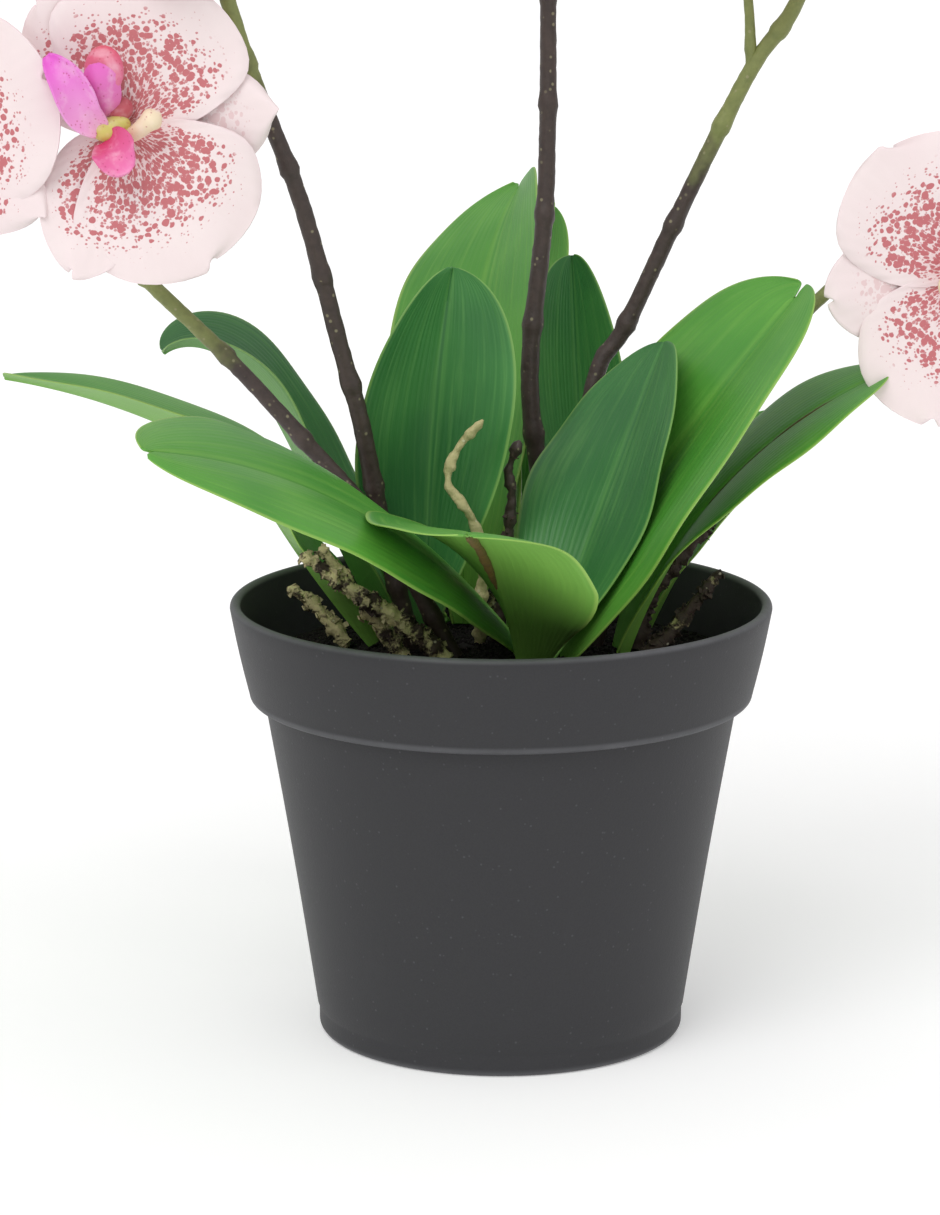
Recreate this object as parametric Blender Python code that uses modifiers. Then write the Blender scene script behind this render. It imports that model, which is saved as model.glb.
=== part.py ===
"""Potted orchid: a plastic pot with soil, strap leaves, aerial roots and five flower spikes.

Blender 4.5, metres, +Z up. The origin is the centre of the pot's flat base.
Everything is one unmoving assembly; each leaf, spike, root, blossom and bud is its own solid.
"""
import math

import bmesh
import bpy
from mathutils import Matrix, Vector

MM = 0.001
BUD_GAP = 0.3 * MM

# Pot: a tapered round pot with a deeper band round its rim.
POT_HEIGHT = 122 * MM
RIM_RADIUS = 75 * MM
BAND_FOOT_RADIUS = 69.8 * MM
BAND_DEPTH = 27 * MM
BODY_TOP_RADIUS = 65.6 * MM
BASE_RADIUS = 51 * MM
BASE_ROUND = 2 * MM
POT_WALL = 3 * MM
POT_FLOOR = 3 * MM
ROUND_STEPS = 48

# Soil: a plug that fills the pot to a little under its rim.
SOIL_TOP = 103.5 * MM
SOIL_CLEARANCE = 0.4 * MM

# Leaves, spikes, roots.
LEAF_THICKNESS = 1.1 * MM
LEAF_ROWS = 11
LEAF_COLUMNS = 2
LEAF_FOOT = 107.4 * MM
SHEATH_SHARE = 0.24
WIDEST_AT = 0.58
FOLD_FADE = 0.22
SPIKE_STEP = 17 * MM
ROOT_STEP = 8 * MM

# Blossoms: five lobes in one moulded piece, with a separate lip in front.
PETAL_REACH = 42 * MM
SEPAL_REACH = 40 * MM
BLOSSOM_THICKNESS = 0.9 * MM
BLOSSOM_CUP = 5 * MM
BLOSSOM_RINGS = 2
LOBE_STEPS = 6
LIP_STAND = 7.2 * MM
LIP_SIZE = (9 * MM, 11 * MM, 6 * MM)
BUD_SIZE = (5 * MM, 5 * MM, 7.5 * MM)


def clear_scene():
    for item in list(bpy.data.objects):
        bpy.data.objects.remove(item, do_unlink=True)


def collection(name):
    group = bpy.data.collections.new(name)
    bpy.context.scene.collection.children.link(group)
    return group


def material(name, colour, roughness, metallic=0.0):
    made = bpy.data.materials.new(name)
    made.use_nodes = True
    shader = made.node_tree.nodes["Principled BSDF"]
    shader.inputs["Base Color"].default_value = (*colour, 1.0)
    shader.inputs["Roughness"].default_value = roughness
    shader.inputs["Metallic"].default_value = metallic
    return made


clear_scene()
ORCHID = collection("potted_orchid")
CUTTERS = collection("cutters")

PLASTIC = material("pot_plastic", (0.045, 0.045, 0.050), 0.60)
SOIL = material("soil_black", (0.010, 0.010, 0.010), 0.95)
LEAF_LIGHT = material("leaf_light", (0.13, 0.33, 0.06), 0.45)
LEAF_DARK = material("leaf_dark", (0.06, 0.20, 0.06), 0.42)
STEM = material("stem_bark", (0.08, 0.07, 0.04), 0.60)
ROOT = material("root_skin", (0.45, 0.42, 0.28), 0.80)
PETAL = material("petal_pink", (0.85, 0.66, 0.67), 0.55)
LIP = material("lip_magenta", (0.80, 0.16, 0.40), 0.50)
BUD = material("bud_skin", (0.62, 0.52, 0.36), 0.55)


def add_mesh(name, build, look, smooth_angle=40):
    """Runs build on a new bmesh, makes it an object of the orchid and shades it."""
    mesh = bpy.data.meshes.new(name)
    work = bmesh.new()
    build(work)
    work.to_mesh(mesh)
    work.free()
    mesh.shade_smooth()
    mesh.set_sharp_from_angle(angle=math.radians(smooth_angle))
    mesh.materials.append(look)
    made = bpy.data.objects.new(name, mesh)
    ORCHID.objects.link(made)
    return made


def turned(name, profile, look):
    """A turned solid: the profile ends on the axis at both ends."""
    def build(work):
        points = [work.verts.new((radius, 0, height)) for radius, height in profile]
        for start, end in zip(points, points[1:]):
            work.edges.new((start, end))

    made = add_mesh(name, build, look)
    screw = made.modifiers.new("turn", "SCREW")
    screw.steps = ROUND_STEPS
    screw.render_steps = ROUND_STEPS
    screw.use_merge_vertices = True
    screw.merge_threshold = 0.00001
    return made


def arc(centre, radius, start, end, steps):
    """Points on an arc in the profile plane, angles in degrees."""
    turn = [math.radians(start + (end - start) * step / steps) for step in range(steps + 1)]
    return [(centre[0] + radius * math.cos(a), centre[1] + radius * math.sin(a)) for a in turn]


def inner_wall():
    """The pot's inner wall from its floor to its lip: it steps out behind the band."""
    step = POT_HEIGHT - BAND_DEPTH
    return [(BASE_RADIUS - POT_WALL, POT_FLOOR), (BODY_TOP_RADIUS - POT_WALL, step),
            (BAND_FOOT_RADIUS - POT_WALL, step + POT_WALL),
            (RIM_RADIUS - POT_WALL, POT_HEIGHT - POT_WALL / 2)]


def build_pot():
    lip = POT_WALL / 2
    band_foot = POT_HEIGHT - BAND_DEPTH
    profile = [(0, POT_FLOOR)] + inner_wall()
    profile += arc((RIM_RADIUS - lip, POT_HEIGHT - lip), lip, 120, 0, 3)
    profile += arc((BAND_FOOT_RADIUS - lip, band_foot + lip), lip, 0, -90, 2)
    profile.append((BODY_TOP_RADIUS, band_foot))
    profile += arc((BASE_RADIUS - BASE_ROUND, BASE_ROUND), BASE_ROUND, 0, -90, 2)
    profile.append((0, 0))
    turned("pot", profile, PLASTIC)


def build_soil():
    floor, body, band, lip = inner_wall()
    share = (SOIL_TOP - band[1]) / (lip[1] - band[1])
    top_radius = band[0] + share * (lip[0] - band[0])
    wall = [(top_radius, SOIL_TOP), (band[0], band[1]), (body[0], body[1]), (floor[0], floor[1])]
    profile = [(0, SOIL_TOP), (wall[0][0] - SOIL_CLEARANCE, SOIL_TOP)]
    profile += [(radius - SOIL_CLEARANCE, height + SOIL_CLEARANCE) for radius, height in wall[1:]]
    profile.append((0, POT_FLOOR + SOIL_CLEARANCE))
    turned("soil", profile, SOIL)


# Leaves. Each rises from its foot on the soil along a bent midrib, and is folded along it.
# Angles in degrees: heading is the compass turn from +X, rise the slope at foot and tip,
# roll the twist about the midrib, fold the lift of each half, and nod an extra bend down near
# the tip; sizes and feet in millimetres.
LEAVES = {
    "leaf_front": dict(foot=(5.5, -18), heading=-105, turn=13, rise=(57, 5), roll=(-44, 1),
                       fold=(55, -3), curl=-5, length=109, width=65.5, tip=1.2),
    "leaf_left_low": dict(foot=(6.5, -0.5), heading=229, turn=7, rise=(44, 10), roll=(-32, -31),
                          fold=(9, 17), curl=-42, length=175, width=58.5, tip=1.2),
    "leaf_left_far": dict(foot=(-18.5, 28.5), heading=149, turn=16, rise=(42, 6), roll=(34, 3),
                          fold=(60, 21), curl=-16, length=156, width=48.5, tip=1.7),
    "leaf_left_under": dict(foot=(-36, 7.5), heading=186, turn=0, rise=(50, 60), roll=(0, -10),
                            fold=(50, 15), curl=0, length=52, width=30, tip=2.2),
    "leaf_left_curled": dict(foot=(-30.5, 13), heading=175, turn=12, rise=(61, 72), nod=110,
                             roll=(-2, -3), fold=(58, 19), curl=1, length=112, width=47, tip=2.6),
    "leaf_mid_dark": dict(foot=(-21, 15.5), heading=100, turn=45, rise=(97, 100), roll=(-33, -30),
                          fold=(41, 24), curl=9, length=108, width=47, tip=2.3),
    "leaf_back_tall": dict(foot=(-11, 33.5), heading=87, turn=-14, rise=(76, 22), roll=(15, -41),
                           fold=(48, 16), curl=10, length=157, width=51.5, tip=2.2),
    "leaf_back_narrow": dict(foot=(2.5, 27), heading=97, turn=-31, rise=(58, 32), roll=(56, 85),
                             fold=(43, 42), curl=13, length=153, width=34, tip=2.0),
    "leaf_back_small": dict(foot=(26, 35), heading=97, turn=-1, rise=(60, 68), roll=(16, -20),
                            fold=(45, 37), curl=14, length=110, width=36.5, tip=1.9),
    "leaf_right_dark": dict(foot=(13.2, -8.4), heading=27.2, turn=18, rise=(68.7, 61.7),
                            roll=(28.5, -22.2), fold=(44.2, 7), curl=4.6, length=93, width=56,
                            tip=2.3),
    "leaf_right_broad": dict(foot=(14.3, -2.2), heading=-10.7, turn=31, rise=(63.6, 47.8),
                             roll=(43.2, 2), fold=(4.1, 16.4), curl=-9.8, length=124.2, width=74,
                             tip=2.5),
    "leaf_right_low": dict(foot=(34.5, -2), heading=8, turn=-16, rise=(71, 24), roll=(-2, 15),
                           fold=(43, 7), curl=-14, length=110, width=46, tip=2.3),
    "leaf_right_inner": dict(foot=(42, 31), heading=32, turn=6, rise=(60, 38), roll=(0, 0),
                             fold=(48, 20), curl=0, length=76, width=32, tip=2.2),
}
DARK_LEAVES = {"leaf_mid_dark", "leaf_right_dark", "leaf_back_small", "leaf_left_curled"}


def half_width(share, tip):
    """Half the leaf's width at a share of its length, as a part of its half width."""
    rising = math.sin(min(share / WIDEST_AT, 1) * math.pi / 2) ** 1.15
    falling = max(share - WIDEST_AT, 0) / (1 - WIDEST_AT)
    return (SHEATH_SHARE + (1 - SHEATH_SHARE) * rising) * math.sqrt(1 - falling ** tip)


def leaf_frame(leaf, share):
    """Direction along the midrib and the leaf's own side and up directions at a share."""
    heading = math.radians(leaf["heading"] + leaf["turn"] * share ** 1.5)
    rise_foot, rise_tip = leaf["rise"]
    slope = rise_foot + (rise_tip - rise_foot) * share - leaf.get("nod", 0) * share ** 6
    rise = math.radians(slope)
    along = Vector((math.cos(rise) * math.cos(heading), math.cos(rise) * math.sin(heading),
                    math.sin(rise)))
    level = Vector((-math.sin(heading), math.cos(heading), 0))
    roll_foot, roll_tip = leaf["roll"]
    turn = Matrix.Rotation(math.radians(roll_foot + (roll_tip - roll_foot) * share), 3, along)
    return along, turn @ level, turn @ along.cross(level)


def leaf_grid(leaf, rows, columns, fine=8):
    """Rows of points across the leaf, from foot to tip."""
    length = leaf["length"] * MM
    middle = Vector((leaf["foot"][0] * MM, leaf["foot"][1] * MM, LEAF_FOOT))
    grid = []
    last_share = 0
    for row in range(rows + 1):
        share = 0.992 * (1 - (1 - row / rows) ** 1.5)
        for step in range(fine):
            between = last_share + (share - last_share) * (step + 0.5) / fine
            middle = middle + leaf_frame(leaf, between)[0] * length * (share - last_share) / fine
        last_share = share
        _, side, up = leaf_frame(leaf, share)
        fold_foot, fold_tip = leaf["fold"]
        fold = fold_tip + (fold_foot - fold_tip) * math.exp(-share / FOLD_FADE)
        width = leaf["width"] * MM / 2 * half_width(share, leaf["tip"])
        outward, upward = 0, 0
        half = [(0, 0)]
        for column in range(columns):
            angle = math.radians(fold + leaf["curl"] * (column + 0.5) / columns)
            outward += math.cos(angle) * width / columns
            upward += math.sin(angle) * width / columns
            half.append((outward, upward))
        line = [middle + side * out + up * lift for out, lift in reversed(half)]
        line += [middle - side * out + up * lift for out, lift in half[1:]]
        grid.append(line)
    return grid


def build_leaves():
    for name, leaf in LEAVES.items():
        grid = leaf_grid(leaf, LEAF_ROWS, LEAF_COLUMNS)

        def build(work, grid=grid):
            rows = [[work.verts.new(point) for point in line] for line in grid]
            for lower, upper in zip(rows, rows[1:]):
                for left in range(len(lower) - 1):
                    work.faces.new((lower[left], lower[left + 1], upper[left + 1], upper[left]))

        made = add_mesh(name, build, LEAF_DARK if name in DARK_LEAVES else LEAF_LIGHT)
        wall = made.modifiers.new("thickness", "SOLIDIFY")
        wall.thickness = LEAF_THICKNESS
        wall.offset = 0


def smooth_path(points, step):
    """Points on a smooth curve through the given ones (millimetres), about a step apart."""
    knots = [Vector(point) * MM for point in points]
    ends = [knots[0] * 2 - knots[1]] + knots + [knots[-1] * 2 - knots[-2]]
    path = []
    for a, b, c, d in zip(ends, ends[1:], ends[2:], ends[3:]):
        count = max(1, round((c - b).length / step))
        for index in range(count):
            t = index / count
            path.append(b * 2 + (c - a) * t + (a * 2 - b * 5 + c * 4 - d) * t * t
                        + (b * 3 - a - c * 3 + d) * t * t * t)
            path[-1] /= 2
    return path + [knots[-1]]


def tube(name, points, radii, step, look, group):
    """A closed round mesh tube through the points, its radius going evenly from foot to tip."""
    path = smooth_path(points, step)
    curve = bpy.data.curves.new(name, "CURVE")
    curve.dimensions = "3D"
    curve.bevel_depth = MM
    curve.bevel_resolution = 2
    curve.use_fill_caps = True
    spline = curve.splines.new("POLY")
    spline.points.add(len(path) - 1)
    for index, place in enumerate(path):
        share = index / (len(path) - 1)
        spline.points[index].co = (*place, 1)
        spline.points[index].radius = radii[0] + (radii[1] - radii[0]) * share
    bent = bpy.data.objects.new(name, curve)
    group.objects.link(bent)
    evaluated = bent.evaluated_get(bpy.context.evaluated_depsgraph_get())
    mesh = bpy.data.meshes.new_from_object(evaluated)
    place = bent.matrix_world.copy()
    bpy.data.objects.remove(bent, do_unlink=True)
    work = bmesh.new()
    work.from_mesh(mesh)
    bmesh.ops.remove_doubles(work, verts=work.verts, dist=0.00001)
    bmesh.ops.recalc_face_normals(work, faces=work.faces)
    work.to_mesh(mesh)
    work.free()
    mesh.shade_smooth()
    mesh.set_sharp_from_angle(angle=math.radians(50))
    mesh.materials.clear()
    mesh.materials.append(look)
    made = bpy.data.objects.new(name, mesh)
    made.matrix_world = place
    group.objects.link(made)
    return made


# Flower spikes: the main stem's points from the soil up, then the side stems to the flowers.
SPIKES = {
    "spike_left": dict(
        radii=(2.4, 1.5),
        main=[(-12, -8, 106), (-32, -12, 143), (-55, -15, 171), (-74, -15, 192), (-92, -17, 210),
              (-106, -19, 224), (-125, -18, 236), (-150, -10, 258), (-172, -4, 290),
              (-184, 0, 322), (-188, 2, 348)],
        sides=[[(-106, -19, 224), (-104, -24, 240), (-99, -36, 256)],
               [(-125, -18, 236), (-142, -20, 243), (-155, -32, 252)],
               [(-172, -4, 290), (-184, -14, 308), (-196, -30, 322)]]),
    "spike_left_tall": dict(
        radii=(2.6, 1.6),
        main=[(-24, 4, 106), (-32, 2, 138), (-38, -9, 172), (-44, -12, 196), (-54, -16, 235),
              (-67, -22, 271), (-75, -24, 300), (-84, -22, 345), (-90, -16, 390),
              (-90, -8, 435), (-84, 2, 475), (-74, 12, 508)],
        sides=[[(-67, -22, 271), (-79, -18, 279), (-94, -18, 296), (-108, -28, 318)],
               [(-84, -22, 345), (-76, -32, 358), (-66, -44, 368)],
               [(-90, -8, 435), (-102, -2, 446), (-114, -2, 452)]]),
    "spike_middle": dict(
        radii=(2.8, 1.6),
        main=[(14, 37, 106), (12, 38, 140), (8, 39, 178), (12, 43, 222), (13, 47, 255),
              (13, 50, 290), (14, 52, 340), (13, 50, 390), (9, 44, 440), (2, 35, 485),
              (-8, 23, 525)],
        sides=[[(14, 52, 340), (24, 62, 352), (30, 78, 358)],
               [(13, 50, 390), (8, 41, 404), (4, 28, 412)],
               [(2, 35, 485), (14, 30, 494), (24, 18, 500)]]),
    "spike_right_tall": dict(
        radii=(2.6, 1.6),
        main=[(19, 20, 106), (22, 29, 150), (27, 35, 180), (35, 36, 193), (52, 35, 230),
              (69, 33, 265), (82, 33, 285), (95, 34, 325), (104, 30, 370), (107, 24, 415),
              (102, 16, 455), (92, 6, 490)],
        sides=[[(69, 33, 265), (68, 33, 284), (65, 40, 302), (60, 53, 314)],
               [(95, 34, 325), (92, 22, 319), (92, 12, 316)],
               [(107, 24, 415), (118, 20, 424), (128, 13, 429)]]),
    "spike_right": dict(
        radii=(2.2, 1.5),
        main=[(26, 8, 106), (36, 11, 140), (55, 13, 167), (80, 14, 196), (98, 14, 213),
              (114, 18, 226), (130, 23, 248), (139, 27, 274), (144, 31, 292), (150, 35, 299)],
        sides=[[(98, 14, 213), (114, 10, 216), (128, 2, 213)]]),
}
SIDE_RADII = (1.5, 1.1)


def build_spikes():
    for name, spike in SPIKES.items():
        main = tube(name, spike["main"], spike["radii"], SPIKE_STEP, STEM, ORCHID)
        for number, points in enumerate(spike["sides"], 1):
            side = tube(f"{name}_side_{number}", points, SIDE_RADII, SPIKE_STEP, STEM, CUTTERS)
            side.hide_render = True
            side.display_type = "WIRE"
            join = main.modifiers.new(f"side_{number}", "BOOLEAN")
            join.operation = "UNION"
            join.object = side


# Aerial roots and a short shoot: free ends that leave the crown of the plant.
ROOTS = {
    "root_upright": dict(radii=(1.5, 0.9), points=[
        (-6, 7, 107), (-5.5, 4, 121), (-5, -3, 136), (-9, -8, 148), (-14.5, -8.5, 156),
        (-12, -8.5, 165.5), (-5, -10, 174)]),
    "root_left_1": dict(radii=(2.7, 1.5), points=[
        (-15, -17, 108), (-21, -15, 114), (-31, -14, 121), (-43, -13, 129), (-55, -12, 137)]),
    "root_left_2": dict(radii=(2.0, 1.3), points=[
        (-27, -8, 107.5), (-34, -8, 117), (-42, -8, 128), (-50, -7, 138)]),
    "root_left_3": dict(radii=(1.8, 1.3), points=[
        (-43, 9, 107.2), (-48, 11, 113), (-53, 13, 118), (-60, 15, 122)]),
    "root_right_1": dict(radii=(2.8, 1.6), points=[
        (37, 2, 107), (40, 7, 120), (46, 9, 128), (55, 11, 139), (65, 13, 151), (76, 15, 164)]),
    "root_right_2": dict(radii=(1.9, 1.2), points=[
        (40, -9, 107.4), (47, -5, 114), (54, 1, 121), (61, 6, 129)]),
    "root_behind": dict(radii=(2.2, 1.3), points=[
        (0, 40, 107.6), (-8, 47, 115), (-17, 54, 119), (-29, 59, 121)]),
    "short_shoot": dict(radii=(1.8, 1.0), points=[
        (-1, 9, 107), (1, 4, 132), (2, 3, 140), (3, 1, 152), (2, 0, 158), (5, -3, 167)]),
}


def build_roots():
    for name, root in ROOTS.items():
        look = STEM if name == "short_shoot" else ROOT
        tube(name, root["points"], root["radii"], ROOT_STEP, look, ORCHID)


# Blossoms: the side stem's end in millimetres, the way the flower faces, and its roll.
FLOWERS = [
    dict(stem=(-99, -36, 256), faces=(0.0, -1, 0.10), roll=-83),
    dict(stem=(-155, -32, 252), faces=(-0.15, -1, 0.05), roll=0),
    dict(stem=(-196, -30, 322), faces=(-0.80, -0.70, 0.10), roll=0),
    dict(stem=(-108, -28, 318), faces=(-0.45, -0.90, 0.15), roll=0),
    dict(stem=(-66, -44, 368), faces=(0.30, -1, 0.05), roll=10),
    dict(stem=(-114, -2, 452), faces=(-1, 0.10, 0.10), roll=-8),
    dict(stem=(30, 78, 358), faces=(0.25, 1, 0.15), roll=0),
    dict(stem=(4, 28, 412), faces=(-0.10, -1, 0.10), roll=-5),
    dict(stem=(24, 18, 500), faces=(0.45, -0.90, 0.25), roll=8),
    dict(stem=(60, 53, 314), faces=(0.10, 1, 0.05), roll=0),
    dict(stem=(92, 12, 316), faces=(0.05, -1, 0.05), roll=5),
    dict(stem=(128, 13, 429), faces=(0.85, -0.60, 0.10), roll=0),
    dict(stem=(128, 2, 213), faces=(0.05, -1, 0.05), roll=100),
    dict(stem=(150, 35, 299), faces=(0.80, 0.50, 0.40), roll=10),
]
# Lobes of a blossom: direction in degrees, half of the turn it fills, its reach.
LOBES = [(90, 27, SEPAL_REACH), (157, 40, PETAL_REACH), (210, 24, SEPAL_REACH),
         (330, 24, SEPAL_REACH), (23, 40, PETAL_REACH)]


def lobe_reach(direction):
    """How far the blossom's outline reaches in a direction in degrees."""
    reach = 9 * MM
    for middle, half_turn, length in LOBES:
        off = abs((direction - middle + 180) % 360 - 180) / half_turn
        if off < 1:
            reach = max(reach, length * (1 - off ** 2.6) ** 0.5)
    return reach


def blossom_mesh(work):
    centre = work.verts.new((0, 0, 0))
    steps = LOBE_STEPS * len(LOBES)
    rings = []
    for ring in range(1, BLOSSOM_RINGS + 1):
        share = ring / BLOSSOM_RINGS
        line = []
        for step in range(steps):
            direction = 360 * step / steps
            reach = lobe_reach(direction) * share
            turn = math.radians(direction)
            lift = BLOSSOM_CUP * (reach / PETAL_REACH) ** 1.5
            line.append(work.verts.new((reach * math.cos(turn), reach * math.sin(turn), lift)))
        rings.append(line)
    for step in range(steps):
        work.faces.new((centre, rings[0][step], rings[0][(step + 1) % steps]))
    for inner, outer in zip(rings, rings[1:]):
        for step in range(steps):
            after = (step + 1) % steps
            work.faces.new((inner[step], outer[step], outer[after], inner[after]))


def lip_mesh(work):
    bmesh.ops.create_icosphere(work, subdivisions=2, radius=1)
    bmesh.ops.scale(work, vec=LIP_SIZE, verts=work.verts)
    bmesh.ops.translate(work, vec=(0, -3 * MM, LIP_STAND), verts=work.verts)


def flower_place(flower):
    """Turns local Z to where the flower faces, with local Y up, then rolls it."""
    facing = Vector(flower["faces"]).normalized()
    side = Vector((0, 0, 1)).cross(facing).normalized()
    turn = Matrix((side, facing.cross(side), facing)).transposed()
    turn = turn @ Matrix.Rotation(math.radians(flower["roll"]), 3, "Z")
    place = Vector(flower["stem"]) * MM + facing * (BLOSSOM_THICKNESS / 2 + 1.0 * MM)
    return Matrix.Translation(place) @ turn.to_4x4()


def build_flowers():
    blossom = add_mesh("flower_01", blossom_mesh, PETAL)
    lip = add_mesh("flower_01_lip", lip_mesh, LIP)
    for number, flower in enumerate(FLOWERS, 1):
        name = f"flower_{number:02d}"
        if number > 1:
            blossom = bpy.data.objects.new(name, blossom.data)
            lip = bpy.data.objects.new(f"{name}_lip", lip.data)
            ORCHID.objects.link(blossom)
            ORCHID.objects.link(lip)
        wall = blossom.modifiers.new("thickness", "SOLIDIFY")
        wall.thickness = BLOSSOM_THICKNESS
        wall.offset = 0
        place = flower_place(flower)
        blossom.matrix_world = place
        lip.matrix_world = place


# Buds: closed, at the ends of the main stems; the way each points follows its stem.
BUDS = [
    dict(stem=(-188, 2, 348), points=(-0.15, 0.10, 1)),
    dict(stem=(-74, 12, 508), points=(0.25, 0.25, 1)),
    dict(stem=(-8, 23, 525), points=(-0.25, -0.30, 1)),
    dict(stem=(92, 6, 490), points=(-0.25, -0.25, 1)),
]


def bud_mesh(work):
    bmesh.ops.create_uvsphere(work, u_segments=10, v_segments=7, radius=1)
    for vert in work.verts:
        narrowing = 1 - 0.22 * vert.co.z
        vert.co.x *= narrowing
        vert.co.y *= narrowing
    bmesh.ops.scale(work, vec=BUD_SIZE, verts=work.verts)
    bmesh.ops.translate(work, vec=(0, 0, BUD_SIZE[2] + BUD_GAP), verts=work.verts)


def build_buds():
    bud = add_mesh("bud_1", bud_mesh, BUD)
    for number, row in enumerate(BUDS, 1):
        if number > 1:
            bud = bpy.data.objects.new(f"bud_{number}", bud.data)
            ORCHID.objects.link(bud)
        turn = Vector(row["points"]).to_track_quat("Z", "Y").to_matrix().to_4x4()
        bud.matrix_world = Matrix.Translation(Vector(row["stem"]) * MM) @ turn


build_pot()
build_soil()
build_leaves()
build_spikes()
build_roots()
build_flowers()
build_buds()
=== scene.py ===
"""The potted orchid dressed: plastic pot, soil, leaves, aerial roots, spikes and blossoms.

Blender 4.5, metres, +Z up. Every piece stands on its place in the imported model.
"""
import math

import bmesh
import bpy
from mathutils import Matrix, Vector, noise


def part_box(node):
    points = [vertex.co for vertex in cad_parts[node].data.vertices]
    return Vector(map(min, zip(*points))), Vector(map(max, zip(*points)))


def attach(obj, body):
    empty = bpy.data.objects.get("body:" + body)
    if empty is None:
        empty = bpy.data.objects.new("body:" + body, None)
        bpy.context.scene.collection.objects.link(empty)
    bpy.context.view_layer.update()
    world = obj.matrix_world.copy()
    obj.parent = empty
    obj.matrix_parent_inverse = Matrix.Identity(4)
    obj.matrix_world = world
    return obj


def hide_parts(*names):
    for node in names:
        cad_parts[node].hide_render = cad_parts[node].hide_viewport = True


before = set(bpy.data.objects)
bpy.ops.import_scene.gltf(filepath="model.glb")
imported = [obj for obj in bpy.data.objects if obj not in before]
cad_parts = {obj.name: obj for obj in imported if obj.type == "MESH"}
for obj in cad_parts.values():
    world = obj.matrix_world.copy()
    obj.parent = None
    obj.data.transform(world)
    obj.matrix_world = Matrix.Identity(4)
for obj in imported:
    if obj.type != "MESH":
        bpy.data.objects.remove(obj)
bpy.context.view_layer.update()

# ---- Studio --------------------------------------------------------------------------------
# A plain pale floor under an even white sky, one broad lamp high on the front left, and the
# camera standing 1.2 m away, a little above the leaves and looking down on the pot.
scene = bpy.context.scene
scene.view_settings.view_transform = "Standard"

lens = bpy.data.cameras.new("portrait")
lens.lens = 131.5
lens.clip_end = 60
camera = bpy.data.objects.new("portrait", lens)
camera.location = (0, -1.2, 0.3847)
camera.rotation_euler = (math.radians(77.54), 0, math.radians(0.41))
scene.collection.objects.link(camera)
scene.camera = camera

sky = bpy.data.worlds.new("white_sky")
sky.use_nodes = True
sky.node_tree.nodes["Background"].inputs["Color"].default_value = (1, 1, 1, 1)
sky.node_tree.nodes["Background"].inputs["Strength"].default_value = 0.62
scene.world = sky


def hang_lamp(name, energy, softness, tilt, turn):
    """A broad, even lamp: tilt from overhead and turn about Z, in degrees."""
    lamp = bpy.data.lights.new(name, "SUN")
    lamp.energy = energy
    lamp.angle = math.radians(softness)
    stand = bpy.data.objects.new(name, lamp)
    stand.rotation_euler = (math.radians(tilt), 0, math.radians(turn))
    scene.collection.objects.link(stand)


hang_lamp("front_lamp", 1.15, 40, 42, -28)
hang_lamp("side_lamp", 0.25, 60, 55, 50)


class Reading:
    """A number that changes over a surface: Python sums on it add Math nodes."""

    def __init__(self, web, socket):
        self.web = web
        self.socket = socket

    def __add__(self, other):
        return self.web.maths("ADD", self, other)

    def __radd__(self, other):
        return self.web.maths("ADD", other, self)

    def __sub__(self, other):
        return self.web.maths("SUBTRACT", self, other)

    def __rsub__(self, other):
        return self.web.maths("SUBTRACT", other, self)

    def __mul__(self, other):
        return self.web.maths("MULTIPLY", self, other)

    def __rmul__(self, other):
        return self.web.maths("MULTIPLY", other, self)

    def __pow__(self, other):
        return self.web.maths("POWER", self, other)

    def __abs__(self):
        return self.web.maths("ABSOLUTE", self)

    def rising(self, low, high):
        """0 below low, 1 above high, with a smooth step between them."""
        step = self.web.node("ShaderNodeMapRange", dict(interpolation_type="SMOOTHSTEP"),
                             {"Value": self, "From Min": low, "From Max": high})
        return Reading(self.web, step.outputs["Result"])

    def falling(self, low, high):
        return 1 - self.rising(low, high)


class Web:
    """A node tree being wired: node() adds a node, sets it up and feeds its sockets."""

    def __init__(self, tree):
        self.tree = tree

    def feed(self, socket, value):
        if isinstance(value, Reading):
            value = value.socket
        if isinstance(value, bpy.types.NodeSocket):
            self.tree.links.new(value, socket)
        else:
            socket.default_value = value

    def node(self, kind, settings=(), sockets=()):
        made = self.tree.nodes.new(kind)
        for name, value in dict(settings).items():
            setattr(made, name, value)
        for key, value in dict(sockets).items():
            self.feed(made.inputs[key], value)
        return made

    def maths(self, operation, *terms):
        made = self.node("ShaderNodeMath", dict(operation=operation), enumerate(terms))
        return Reading(self, made.outputs[0])


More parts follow.
